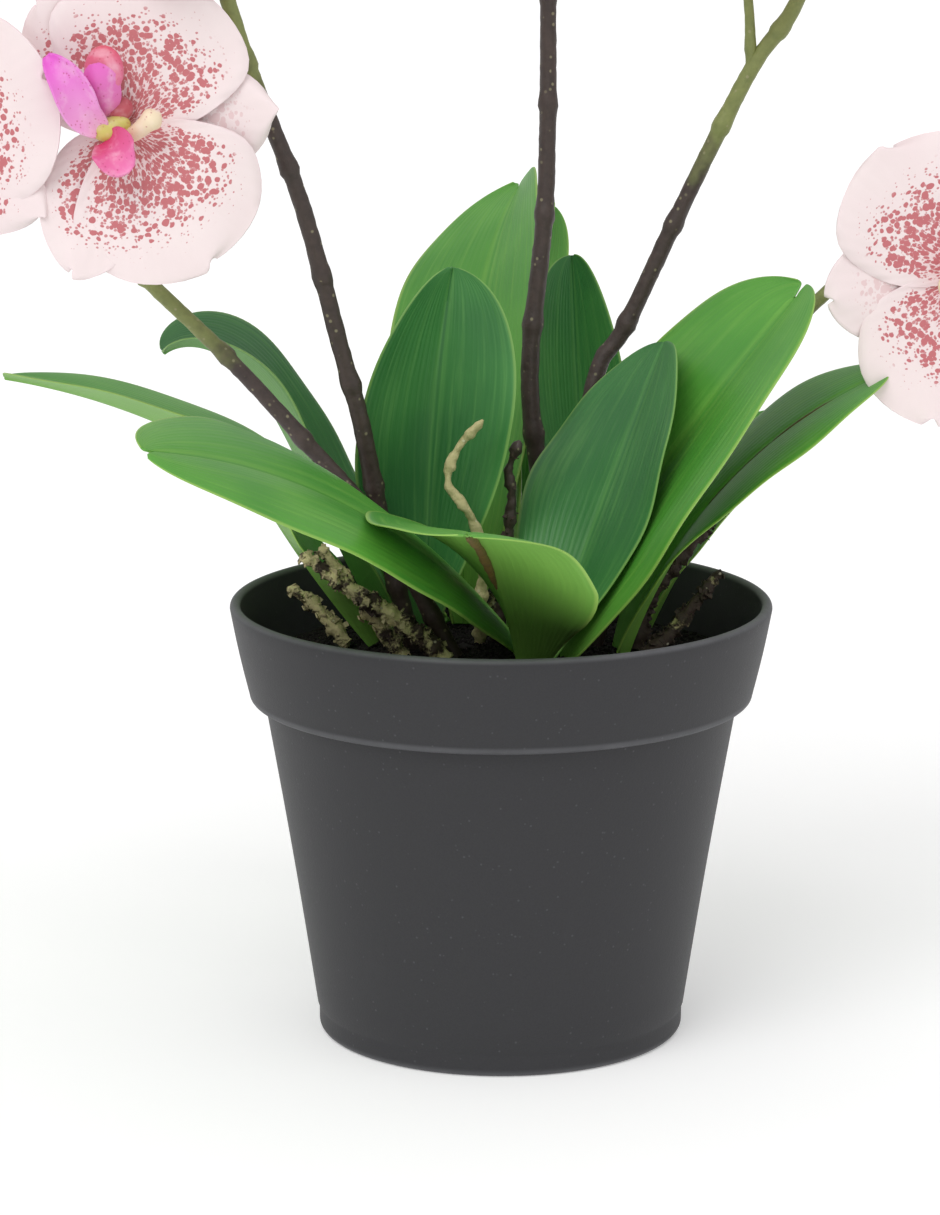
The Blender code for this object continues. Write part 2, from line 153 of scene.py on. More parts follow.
class Finish(Web):
    """A material: constants go on the shader itself, readings on what changes."""

    def __init__(self, name, **constants):
        self.material = bpy.data.materials.new(name)
        self.material.use_nodes = True
        super().__init__(self.material.node_tree)
        self.shader = self.tree.nodes["Principled BSDF"]
        for socket, value in constants.items():
            self.shader.inputs[socket.replace("_", " ")].default_value = value

    def place(self):
        return self.node("ShaderNodeTexCoord").outputs["Object"]

    def mark(self, name, output="Fac"):
        made = self.node("ShaderNodeAttribute", dict(attribute_name=name))
        return Reading(self, made.outputs[output])

    def vector(self, x, y, z=0.0):
        return self.node("ShaderNodeCombineXYZ", (), {"X": x, "Y": y, "Z": z}).outputs[0]

    def noise(self, where, scale, detail=2.0, rough=0.5):
        made = self.node("ShaderNodeTexNoise", (), {
            "Vector": where, "Scale": scale, "Detail": detail, "Roughness": rough})
        return Reading(self, made.outputs[0])

    def cells(self, where, scale, scatter=1.0):
        """Distance to the nearest of many scattered points, and that point's own number."""
        made = self.node("ShaderNodeTexVoronoi", (), {
            "Vector": where, "Scale": scale, "Randomness": scatter})
        return Reading(self, made.outputs["Distance"]), Reading(self, made.outputs["Color"])

    def blend(self, share, first, second, way="MIX"):
        made = self.node("ShaderNodeMix", dict(data_type="RGBA", blend_type=way),
                         {0: share, 6: first, 7: second})
        return made.outputs[2]

    def paint(self, colour, roughness=None, relief=None, depth=0.0002, strength=1.0):
        self.feed(self.shader.inputs["Base Color"], colour)
        if roughness is not None:
            self.feed(self.shader.inputs["Roughness"], roughness)
        if relief is not None:
            bump = self.node("ShaderNodeBump", (), {
                "Height": relief, "Distance": depth, "Strength": strength})
            self.feed(self.shader.inputs["Normal"], bump.outputs[0])
        return self.material


def tone(code):
    """A colour written as six hex digits, as the linear colour that the shader takes."""
    parts = [int(code[start:start + 2], 16) / 255 for start in (0, 2, 4)]
    return (*[(part / 12.92 if part < 0.04045 else ((part + 0.055) / 1.055) ** 2.4)
              for part in parts], 1.0)


floor_paint = Finish("pale_floor", Roughness=0.9, Emission_Color=(1, 1, 1, 1),
                     Emission_Strength=0.21)
floor_cloud = floor_paint.noise(floor_paint.place(), 3.0)
pale_floor = floor_paint.paint(floor_paint.blend(floor_cloud, tone("f8f8f8"), tone("fbfbfb")))
bpy.ops.mesh.primitive_plane_add(size=40)
floor = bpy.context.object
floor.name = "studio_floor"
floor.data.materials.append(pale_floor)


# ---- Pot -----------------------------------------------------------------------------------
# An injection-moulded nursery pot in charcoal plastic: a plain taper with a deeper band
# round its rim, a rolled lip, a small foot round its base, and a fine matt grain all over.
MM = 0.001


class Skin:
    """Points, faces and marks gathered for one mesh."""

    def __init__(self):
        self.points = []
        self.faces = []
        self.marks = {}

    def join(self, points, faces, **marks):
        start = len(self.points)
        self.points += points
        self.faces += [[corner + start for corner in face] for face in faces]
        for name, values in marks.items():
            self.marks.setdefault(name, []).extend(values)

    def loft(self, rings, **marks):
        """Joins rings of points into a closed body; a mark is one value for each ring."""
        around = len(rings[0])
        points = [point for ring in rings for point in ring]
        faces = []
        for low in range(len(rings) - 1):
            for step in range(around):
                after = (step + 1) % around
                faces.append([low * around + step, low * around + after,
                              (low + 1) * around + after, (low + 1) * around + step])
        ends = [sum(ring, Vector()) / around for ring in (rings[0], rings[-1])]
        last = (len(rings) - 1) * around
        for step in range(around):
            after = (step + 1) % around
            faces.append([len(points), after, step])
            faces.append([len(points) + 1, last + step, last + after])
        points += ends
        spread = {name: [value for value in values for _ in range(around)]
                  + [values[0], values[-1]] for name, values in marks.items()}
        self.join(points, faces, **spread)

    def piece(self, name, material, slot, replaced=(), sharp=60):
        """Makes the mesh an object that rides on the plant and stands for its CAD nodes."""
        mesh = bpy.data.meshes.new(name)
        mesh.from_pydata(self.points, [], self.faces)
        for mark, values in self.marks.items():
            if isinstance(values[0], (int, float)):
                layer = mesh.attributes.new(mark, "FLOAT", "POINT")
                layer.data.foreach_set("value", values)
            else:
                layer = mesh.attributes.new(mark, "FLOAT_COLOR", "POINT")
                layer.data.foreach_set("color", [part for value in values for part in value])
        work = bmesh.new()
        work.from_mesh(mesh)
        bmesh.ops.remove_doubles(work, verts=work.verts, dist=0.000001)
        bmesh.ops.recalc_face_normals(work, faces=work.faces)
        work.to_mesh(mesh)
        work.free()
        mesh.shade_smooth()
        mesh.set_sharp_from_angle(angle=math.radians(sharp))
        return settle(name, mesh, material, replaced)


def settle(name, mesh, material, replaced=()):
    made = bpy.data.objects.new(name, mesh)
    mesh.materials.clear()
    mesh.materials.append(material)
    scene.collection.objects.link(made)
    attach(made, "root")
    if replaced:
        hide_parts(*replaced)
    return made


pot_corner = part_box("pot")[1]
POT_HEIGHT = pot_corner.z
RIM_RADIUS = pot_corner.x
BAND_FOOT_RADIUS = 69.8 * MM
BAND_DEPTH = 27 * MM
BAND_FOOT = POT_HEIGHT - BAND_DEPTH
BODY_TOP_RADIUS = 65.6 * MM
BASE_RADIUS = 51 * MM
POT_WALL = 3 * MM
POT_SIDES = 168


def arc(centre, radius, start, end, steps):
    turns = [math.radians(start + (end - start) * step / steps) for step in range(steps + 1)]
    return [(centre[0] + radius * math.cos(a), centre[1] + radius * math.sin(a)) for a in turns]


def line(start, end, steps, bow=0.0):
    """Points between two, bowed outwards in the middle; both ends are left out."""
    shares = [step / steps for step in range(1, steps)]
    return [(start[0] + (end[0] - start[0]) * share + bow * math.sin(share * math.pi),
             start[1] + (end[1] - start[1]) * share) for share in shares]


def pot_profile():
    lip = 1.5 * MM
    foot = 2 * MM
    inner = [(0.5 * MM, 3 * MM), (BASE_RADIUS - POT_WALL - 3 * MM, 3 * MM),
             (BASE_RADIUS - POT_WALL, 6 * MM)]
    shoulder = (BODY_TOP_RADIUS - POT_WALL, BAND_FOOT)
    inner += line(inner[-1], shoulder, 8) + [shoulder]
    inner += [(BAND_FOOT_RADIUS - POT_WALL, BAND_FOOT + POT_WALL)]
    mouth = (RIM_RADIUS - POT_WALL, POT_HEIGHT - lip)
    inner += line(inner[-1], mouth, 6)
    rim = arc((RIM_RADIUS - lip, POT_HEIGHT - lip), lip, 180, 0, 12)
    band_end = (BAND_FOOT_RADIUS, BAND_FOOT + 1.4 * MM)
    band = line(rim[-1], band_end, 8, 0.25 * MM)
    band += arc((band_end[0] - 1.4 * MM, band_end[1]), 1.4 * MM, 0, -90, 6)
    under = [(BODY_TOP_RADIUS + 0.8 * MM, BAND_FOOT)]
    under += arc((BODY_TOP_RADIUS + 0.8 * MM, BAND_FOOT - 0.8 * MM), 0.8 * MM, 90, 180, 3)
    heel = (BASE_RADIUS + 0.55 * MM, 7.4 * MM)
    body = line(under[-1], heel, 16, -0.35 * MM) + [heel]
    body += [(BASE_RADIUS + 0.1 * MM, 6.6 * MM), (BASE_RADIUS + 0.02 * MM, 6.0 * MM)]
    body += line(body[-1], (BASE_RADIUS, foot), 3)
    body += arc((BASE_RADIUS - foot, foot), foot, 0, -90, 6)
    base = [(BASE_RADIUS - 5 * MM, 0), (BASE_RADIUS - 6 * MM, 1 * MM), (0.5 * MM, 1 * MM)]
    return inner + rim + band + under + body + base


def turned_rings(profile, sides):
    rings = []
    for radius, height in profile:
        rings.append([Vector((radius * math.cos(math.tau * side / sides),
                              radius * math.sin(math.tau * side / sides), height))
                      for side in range(sides)])
    return rings


plastic = Finish("charcoal_plastic", Roughness=0.5, Specular_IOR_Level=0.34)
pot_place = plastic.place()
pot_split = plastic.node("ShaderNodeSeparateXYZ", (), {0: pot_place})
pot_x, pot_y, pot_z = [Reading(plastic, output) for output in pot_split.outputs]
pot_reach = (pot_x * pot_x + pot_y * pot_y) ** 0.5
grain = plastic.noise(pot_place, 1900, 3, 0.6)
speck_gap, speck_kind = plastic.cells(pot_place, 620)
specks = speck_gap.falling(0.10, 0.26) * speck_kind.rising(0.72, 0.80)
scuffs = plastic.noise(pot_place, 46, 4, 0.62).rising(0.60, 0.86)
# The pot turns lighter grey on its rolled lip and along the band's lower edge, and is worn
# lighter round the foot, all patchy with the dust noise.
lip_paling = pot_z.rising(POT_HEIGHT - 1.6 * MM, POT_HEIGHT - 0.3 * MM)
foot_wear = pot_z.falling(0.2 * MM, 2.4 * MM) * pot_reach.rising(0.048, 0.050)
band_edge = abs(pot_z - (BAND_FOOT + 0.9 * MM)).falling(0.3 * MM, 1.5 * MM)
band_edge = band_edge * pot_reach.rising(0.0672, 0.0690)
dust = plastic.noise(pot_place, 130, 4, 0.7)
charcoal = plastic.blend(grain, tone("29292b"), tone("353538"))
charcoal = plastic.blend(scuffs * 0.22, charcoal, tone("4a4b4e"))
charcoal = plastic.blend(specks * 0.22, charcoal, tone("6b6c70"))
edge_paling = (lip_paling * 0.45 + foot_wear * 0.35 + band_edge * 0.30) * (0.55 + dust * 0.8)
charcoal = plastic.blend(edge_paling, charcoal, tone("77787c"))
charcoal_plastic = plastic.paint(
    charcoal, 0.46 + grain * 0.16 + scuffs * 0.10, grain + dust * 0.8, 0.00012, 0.55)

pot = Skin()
pot.loft(turned_rings(pot_profile(), POT_SIDES))
pot.piece("pot_shell", charcoal_plastic, "pot", ["pot"], 50)


# ---- Soil ----------------------------------------------------------------------------------
# Fine black peat filled to a little under the rim and heaped slightly round the crown of
# the plant, with loose crumbs lying on it. The crumbs are scattered by Geometry Nodes.
SOIL_TOP = 103.9 * MM
SOIL_HEAP = 3.4 * MM
SOIL_REACH = 67.6 * MM
SOIL_DEPTH = 30 * MM
SOIL_FOOT = (BODY_TOP_RADIUS - POT_WALL - 2 * MM) / SOIL_REACH
SOIL_RINGS = 34
SOIL_SIDES = 110


def soil_height(x, y):
    apart = math.hypot(x, y - 0.006) / 0.042
    rough = noise.fractal(Vector((x, y, 0.3)) * 170, 0.9, 2.1, 4)
    return SOIL_TOP + SOIL_HEAP * math.exp(-apart ** 4) + rough * 0.9 * MM


def soil_rings():
    rings = []
    for ring in range(SOIL_RINGS + 1):
        reach = SOIL_REACH * max(ring / SOIL_RINGS, 0.004)
        points = []
        for side in range(SOIL_SIDES):
            turn = math.tau * side / SOIL_SIDES
            x = reach * math.cos(turn)
            y = reach * math.sin(turn)
            points.append(Vector((x, y, soil_height(x, y))))
        rings.append(points)
    return rings


peat = Finish("black_peat", Roughness=0.95, Specular_IOR_Level=0.25)
peat_place = peat.place()
peat_lumps = peat.noise(peat_place, 420, 5, 0.7)
peat_fibre = peat.noise(peat_place, 90, 3, 0.6).rising(0.55, 0.8)
peat_colour = peat.blend(peat_lumps, tone("0b0a0a"), tone("2a2523"))
peat_colour = peat.blend(peat_fibre * 0.4, peat_colour, tone("43382f"))
black_peat = peat.paint(peat_colour, 0.82 + peat_lumps * 0.16, peat_lumps, 0.0006, 0.9)

top_rings = soil_rings()


def soil_girdle(share, height):
    """The soil's edge drawn in to a share of its radius, at a height."""
    return [Vector((p.x * share, p.y * share, height)) for p in top_rings[-1]]


soil = Skin()
soil.loft(top_rings + [soil_girdle(0.972, BAND_FOOT - 0.5 * MM),
                       soil_girdle(0.90, BAND_FOOT - 4 * MM),
                       soil_girdle(SOIL_FOOT, SOIL_TOP - SOIL_DEPTH)])
soil.piece("potting_soil", black_peat, "soil", ["soil"], 80)


def scatter(host, name, grain_kind, grain_sockets, material, inputs):
    """Strews small grains over a mesh with Geometry Nodes and returns them as one mesh."""
    tree = bpy.data.node_groups.new(name, "GeometryNodeTree")
    tree.interface.new_socket("Geometry", in_out="INPUT", socket_type="NodeSocketGeometry")
    for label in inputs:
        tree.interface.new_socket(label, in_out="INPUT", socket_type="NodeSocketFloat")
    tree.interface.new_socket("Geometry", in_out="OUTPUT", socket_type="NodeSocketGeometry")
    web = Web(tree)
    entry = web.node("NodeGroupInput")
    strewn = web.node("GeometryNodeDistributePointsOnFaces", (), {
        "Mesh": entry.outputs["Geometry"], "Density": entry.outputs["Density"], "Seed": 7})
    grains = web.node(grain_kind, (), grain_sockets)
    spin = web.node("FunctionNodeRandomValue", dict(data_type="FLOAT_VECTOR"), {
        "Min": (-1.2, -1.2, -3.1), "Max": (1.2, 1.2, 3.1), "Seed": 3})
    tilt = web.node("FunctionNodeRotateRotation", dict(rotation_space="LOCAL"), {
        "Rotation": strewn.outputs["Rotation"], "Rotate By": spin.outputs["Value"]})
    size = web.node("FunctionNodeRandomValue", dict(data_type="FLOAT"), {
        "Min": entry.outputs["Smallest"], "Max": entry.outputs["Largest"], "Seed": 5})
    stretch = web.node("ShaderNodeCombineXYZ", (), {
        "X": size.outputs[1], "Y": size.outputs[1], "Z": size.outputs[1]})
    laid = web.node("GeometryNodeInstanceOnPoints", (), {
        "Points": strewn.outputs["Points"], "Instance": grains.outputs["Mesh"],
        "Rotation": tilt.outputs["Rotation"], "Scale": stretch.outputs[0]})
    real = web.node("GeometryNodeRealizeInstances", (), {"Geometry": laid.outputs["Instances"]})
    dressed = web.node("GeometryNodeSetMaterial", (), {
        "Geometry": real.outputs["Geometry"], "Material": material})
    web.node("NodeGroupOutput", (), {"Geometry": dressed.outputs["Geometry"]})
    bearer = bpy.data.objects.new(f"{name}_bearer", host)
    scene.collection.objects.link(bearer)
    growth = bearer.modifiers.new(name, "NODES")
    growth.node_group = tree
    for item in tree.interface.items_tree:
        if item.in_out == "INPUT" and item.name in inputs:
            growth[item.identifier] = inputs[item.name]
    evaluated = bearer.evaluated_get(bpy.context.evaluated_depsgraph_get())
    mesh = bpy.data.meshes.new_from_object(evaluated)
    bpy.data.objects.remove(bearer, do_unlink=True)
    return mesh


def bed_mesh(rings):
    """The soil's open top surface, for strewing on."""
    around = len(rings[0])
    faces = []
    for low in range(len(rings) - 1):
        for step in range(around):
            after = (step + 1) % around
            faces.append([low * around + step, (low + 1) * around + step,
                          (low + 1) * around + after, low * around + after])
    mesh = bpy.data.meshes.new("soil_bed")
    mesh.from_pydata([point for ring in rings for point in ring], [], faces)
    return mesh


crumbs = scatter(bed_mesh(top_rings[1:-1]), "soil_crumbs", "GeometryNodeMeshIcoSphere",
                 {"Radius": 1.0, "Subdivisions": 1}, black_peat,
                 {"Density": 420000.0, "Smallest": 0.35 * MM, "Largest": 1.15 * MM})
settle("soil_crumbs", crumbs, black_peat)


# ---- Leaves --------------------------------------------------------------------------------
# Thirteen strap leaves of soft moulded foam, folded along the midrib and spread from the
# crown. Satin green with a pale cut margin; some carry a brown wire under the blade.
LEAF_FOOT = 107.4 * MM
LEAF_ROWS = 60
LEAF_COLUMNS = 11
SHEATH_SHARE = 0.24
WIDEST_AT = 0.58
FOLD_FADE = 0.22
# heading, turn, rise, nod, roll, fold and curl in degrees; foot, length and width in mm.
LEAVES = {
    "leaf_front": dict(foot=(5.5, -18), heading=-105, turn=13, rise=(57, 5), roll=(-44, 1),
                       fold=(55, -3), curl=-5, length=109, width=65.5, tip=1.2, notch=0.05),
    "leaf_left_low": dict(foot=(6.5, -0.5), heading=229, turn=7, rise=(44, 10), roll=(-32, -31),
                          fold=(9, 17), curl=-42, length=175, width=58.5, tip=1.2, notch=0.02),
    "leaf_left_far": dict(foot=(-18.5, 28.5), heading=149, turn=16, rise=(42, 6), roll=(34, 3),
                          fold=(60, 21), curl=-16, length=156, width=48.5, tip=1.7),
    "leaf_left_under": dict(foot=(-36, 7.5), heading=186, turn=0, rise=(50, 60), roll=(0, -10),
                            fold=(50, 15), curl=0, length=52, width=30, tip=2.2),
    "leaf_left_curled": dict(foot=(-30.5, 13), heading=175, turn=12, rise=(61, 72), nod=110,
                             roll=(-2, -3), fold=(58, 19), curl=1, length=112, width=47, tip=2.6),
    "leaf_mid_dark": dict(foot=(-21, 15.5), heading=100, turn=45, rise=(97, 100), roll=(-33, -30),
                          fold=(41, 24), curl=9, length=108, width=47, tip=2.3),
    "leaf_back_tall": dict(foot=(-11, 33.5), heading=87, turn=-14, rise=(76, 22), roll=(15, -41),
                           fold=(48, 16), curl=10, length=157, width=51.5, tip=2.2, notch=0.02),
    "leaf_back_narrow": dict(foot=(2.5, 27), heading=97, turn=-31, rise=(58, 32), roll=(56, 85),
                             fold=(43, 42), curl=13, length=153, width=34, tip=2.0),
    "leaf_back_small": dict(foot=(26, 35), heading=97, turn=-1, rise=(60, 68), roll=(16, -20),
                            fold=(45, 37), curl=14, length=110, width=36.5, tip=1.9),
    "leaf_right_dark": dict(foot=(13.2, -8.4), heading=27.2, turn=18, rise=(68.7, 61.7),
                            roll=(28.5, -22.2), fold=(44.2, 7), curl=4.6, length=93, width=56,
                            tip=2.3),
    "leaf_right_broad": dict(foot=(14.3, -2.2), heading=-10.7, turn=31, rise=(63.6, 47.8),
                             roll=(43.2, 2), fold=(4.1, 16.4), curl=-9.8, length=124.2, width=74,
                             tip=2.5, notch=0.04),
    "leaf_right_low": dict(foot=(34.5, -2), heading=8, turn=-16, rise=(71, 24), roll=(-2, 15),
                           fold=(43, 7), curl=-14, length=110, width=46, tip=2.3),
    "leaf_right_inner": dict(foot=(42, 31), heading=32, turn=6, rise=(60, 38), roll=(0, 0),
                             fold=(48, 20), curl=0, length=76, width=32, tip=2.2),
}
DARK_LEAVES = {"leaf_mid_dark", "leaf_right_dark", "leaf_back_small", "leaf_left_curled"}


def shell(middle, over, under, marks, bulge):
    """A closed skin over and under a grid of points, with a rounded margin."""
    rows = len(middle)
    columns = len(middle[0])
    upper, lower = [], []
    for row in range(rows):
        for column in range(columns):
            along = middle[min(row + 1, rows - 1)][column] - middle[max(row - 1, 0)][column]
            aside = middle[row][min(column + 1, columns - 1)] - middle[row][max(column - 1, 0)]
            up = along.cross(aside).normalized()
            upper.append(middle[row][column] + up * over[row][column])
            lower.append(middle[row][column] - up * under[row][column])
    count = rows * columns
    faces = []
    for row in range(rows - 1):
        for column in range(columns - 1):
            a = row * columns + column
            b = a + columns
            faces.append([a, b, b + 1, a + 1])
            faces.append([count + a, count + a + 1, count + b + 1, count + b])
    border = [(0, column) for column in range(columns - 1)]
    border += [(row, columns - 1) for row in range(rows - 1)]
    border += [(rows - 1, column) for column in range(columns - 1, 0, -1)]
    border += [(row, 0) for row in range(rows - 1, 0, -1)]
    margin = []
    for row, column in border:
        inner = middle[min(max(row, 1), rows - 2)][min(max(column, 1), columns - 2)]
        spot = row * columns + column
        centre = (upper[spot] + lower[spot]) / 2
        margin.append(centre + (middle[row][column] - inner).normalized() * bulge)
    for step in range(len(border)):
        after = (step + 1) % len(border)
        here = border[step][0] * columns + border[step][1]
        there = border[after][0] * columns + border[after][1]
        faces.append([here, there, 2 * count + after, 2 * count + step])
        faces.append([2 * count + step, 2 * count + after, count + there, count + here])
    spread = {}
    for name, grid in marks.items():
        flat = [value for line_of in grid for value in line_of]
        spread[name] = flat + flat + [grid[row][column] for row, column in border]
    spread["below"] = [0.0] * count + [1.0] * count + [0.3] * len(border)
    return upper + lower + margin, faces, spread


def half_width(share, tip):
    rising = math.sin(min(share / WIDEST_AT, 1) * math.pi / 2) ** 1.15
    falling = max(share - WIDEST_AT, 0) / (1 - WIDEST_AT)
    return (SHEATH_SHARE + (1 - SHEATH_SHARE) * rising) * math.sqrt(max(1 - falling ** tip, 0))


def leaf_frame(leaf, share):
    """Direction along the midrib and the leaf's own side and up directions at a share."""
    heading = math.radians(leaf["heading"] + leaf["turn"] * share ** 1.5)
    rise_foot, rise_tip = leaf["rise"]
    slope = rise_foot + (rise_tip - rise_foot) * share - leaf.get("nod", 0) * share ** 6
    rise = math.radians(slope)
    along = Vector((math.cos(rise) * math.cos(heading), math.cos(rise) * math.sin(heading),
                    math.sin(rise)))
    level = Vector((-math.sin(heading), math.cos(heading), 0))
    roll_foot, roll_tip = leaf["roll"]
    turn = Matrix.Rotation(math.radians(roll_foot + (roll_tip - roll_foot) * share), 3, along)
    return along, turn @ level, turn @ along.cross(level)


def leaf_surface(leaf, shares, acrosses, phase):
    """The blade's middle surface: one line of points across it for each share."""
    length = leaf["length"] * MM
    middle = Vector((leaf["foot"][0] * MM, leaf["foot"][1] * MM, LEAF_FOOT))
    reached = 0.0
    grid = []
    for share in shares:
        steps = max(1, math.ceil((share - reached) / 0.012))
        for step in range(steps):
            between = reached + (share - reached) * (step + 0.5) / steps
            middle = middle + leaf_frame(leaf, between)[0] * length * (share - reached) / steps
        reached = share
        along, side, up = leaf_frame(leaf, share)
        fold_foot, fold_tip = leaf["fold"]
        fold = fold_tip + (fold_foot - fold_tip) * math.exp(-share / FOLD_FADE)
        width = leaf["width"] * MM / 2 * half_width(share, leaf["tip"])
        points = []
        for across in acrosses:
            part = abs(across)
            outward, upward = 0.0, 0.0
            for step in range(6):
                reach = part * (step + 0.5) / 6
                angle = math.radians(fold * (1 - math.exp(-reach / 0.05)) + leaf["curl"] * reach)
                outward += math.cos(angle) * width * part / 6
                upward += math.sin(angle) * width * part / 6
            ripple = math.sin(share * 9 + phase + across) * part ** 2 * 0.7 * MM
            ripple += math.sin(share * 21 + phase * 2 - across * 2) * part ** 3 * 0.35 * MM
            notch = leaf.get("notch", 0) * length * math.exp(-((across - 0.1) / 0.25) ** 2)
            notch *= min(max((share - 0.9) / 0.1, 0), 1) ** 2
            points.append(middle + side * math.copysign(outward, across)
                          + up * (upward + ripple * min(share * 4, 1)) - along * notch)
        grid.append(points)
    return grid


def leaf_skin(leaf, phase):
    shares = [0.9985 * (1 - (1 - row / LEAF_ROWS) ** 1.7) for row in range(LEAF_ROWS + 1)]
    acrosses = [math.copysign(abs(c / LEAF_COLUMNS) ** 1.15, c)
                for c in range(-LEAF_COLUMNS, LEAF_COLUMNS + 1)]
    grid = leaf_surface(leaf, shares, acrosses, phase)
    over, under = [], []
    for share in shares:
        wall = 0.62 * MM - 0.27 * MM * share
        thin = [wall * (1 - 0.45 * abs(across) ** 3) for across in acrosses]
        groove = [0.42 * MM * math.exp(-(across / 0.05) ** 2) for across in acrosses]
        over.append([body - dip for body, dip in zip(thin, groove)])
        under.append([body + dip * 1.5 for body, dip in zip(thin, groove)])
    marks = dict(across=[list(acrosses) for _ in shares],
                 along=[[share] * len(acrosses) for share in shares])
    skin = Skin()
    points, faces, spread = shell(grid, over, under, marks, 0.25 * MM)
    skin.join(points, faces, **spread)
    return skin


def leaf_finish(name, deep, bright, glow, margin, under):
    foam = Finish(name, Roughness=0.4, Specular_IOR_Level=0.5)
    across = foam.mark("across")
    along = foam.mark("along")
    below = foam.mark("below")
    place = foam.place()
    clouds = foam.noise(place, 26, 2, 0.5)
    streaks = foam.noise(foam.vector(across * 9.0, along * 1.6, clouds * 0.6), 1.6, 3, 0.6)
    fine = foam.noise(foam.vector(across * 60.0, along * 5.0), 1.0, 2, 0.5)
    mottle = foam.noise(place, 190, 3, 0.6)
    colour = foam.blend(clouds.rising(0.30, 0.72) * 0.75, deep, bright)
    colour = foam.blend(streaks.rising(0.46, 0.74) * 0.30, colour, glow)
    colour = foam.blend(fine.rising(0.5, 0.75) * 0.10, colour, glow)
    colour = foam.blend(mottle.rising(0.52, 0.75) * 0.14, colour, deep)
    # Painted shade darkens the midrib crease towards the deep green, and a painted highlight
    # lightens a band on either side of it.
    crease_shade = abs(across).falling(0.004, 0.035)
    midrib_highlight = abs(across).falling(0.03, 0.12)
    colour = foam.blend(midrib_highlight * 0.22 * (1 - crease_shade), colour, glow)
    colour = foam.blend(crease_shade * 0.55, colour, deep)
    colour = foam.blend(along.falling(0.02, 0.26) * 0.5, colour, glow)
    colour = foam.blend(below * 0.72, colour, under)
    cut = abs(across).rising(0.962, 0.995)
    colour = foam.blend(cut * 0.55, colour, margin)
    ribbing = foam.maths("SINE", across * 85.0)
    relief = ribbing * 0.25 + fine * 0.8 + mottle * 0.5
    return foam.paint(colour, 0.36 + streaks * 0.14 + below * 0.12, relief, 0.00018, 0.5)


leaf_light = leaf_finish("leaf_bright_green", tone("4a9334"), tone("64aa40"), tone("8bc053"),
                         tone("a9cc63"), tone("7db24a"))
leaf_dark = leaf_finish("leaf_deep_green", tone("307038"), tone("478d44"), tone("72ad5c"),
                        tone("93bd62"), tone("6aa04c"))

for number, (node, leaf) in enumerate(LEAVES.items()):
    blade = leaf_skin(leaf, number * 1.7)
    dark = node in DARK_LEAVES
    blade.piece(f"{node}_blade", leaf_dark if dark else leaf_light,
                "leaf_dark" if dark else "leaf_light", [node])


def tube_rings(path, radii, sides, wobble=0.0, seed=0.0):
    """Round sections along a path, carried without twist; wobble roughens their radius."""
    rings = []
    direction = (path[1] - path[0]).normalized()
    across = direction.orthogonal().normalized()
    for index, place in enumerate(path):
        ahead = path[min(index + 1, len(path) - 1)] - path[max(index - 1, 0)]
        ahead.normalize()
        across = (across - ahead * across.dot(ahead)).normalized()
        upright = ahead.cross(across)
        ring = []
        for side in range(sides):
            turn = math.tau * side / sides
            out = across * math.cos(turn) + upright * math.sin(turn)
            rough = 1 + wobble * noise.noise((place + out * radii[index]) * 520
                                             + Vector((seed, 0, 0)))
            ring.append(place + out * radii[index] * rough)
        rings.append(ring)
    return rings


# Brown wires pressed into the underside of four blades: where each starts and ends.
wire_paint = Finish("brown_wire", Roughness=0.6)
wire_grain = wire_paint.noise(wire_paint.place(), 420, 3, 0.6)
brown_wire = wire_paint.paint(
    wire_paint.blend(wire_grain, tone("3f2f1a"), tone("7d6a32")),
    0.5 + wire_grain * 0.2, wire_grain, 0.0003, 0.8)
LEAF_WIRES = {
    "leaf_left_far": dict(start=0.42, end=0.66, radius=1.3),
    "leaf_front": dict(start=0.34, end=0.93, radius=1.3),
    "leaf_right_low": dict(start=0.30, end=0.95, radius=1.5),
    "leaf_left_curled": dict(start=0.66, end=0.84, radius=1.0),
}
for node, wire in LEAF_WIRES.items():
    leaf = LEAVES[node]
    shares = [wire["start"] + (wire["end"] - wire["start"]) * step / 24 for step in range(25)]
    path = []
    radii = []
    for step, points in enumerate(leaf_surface(leaf, shares, [0.0], 0.0)):
        up = leaf_frame(leaf, shares[step])[2]
        path.append(points[0] - up * 1.25 * MM)
        radii.append(wire["radius"] * MM * min(1, 0.25 + 0.16 * min(step, 24 - step)))
    rib = Skin()
    rib.loft(tube_rings(path, radii, 12, 0.35))
    rib.piece(f"{node}_wire", brown_wire, "stem")


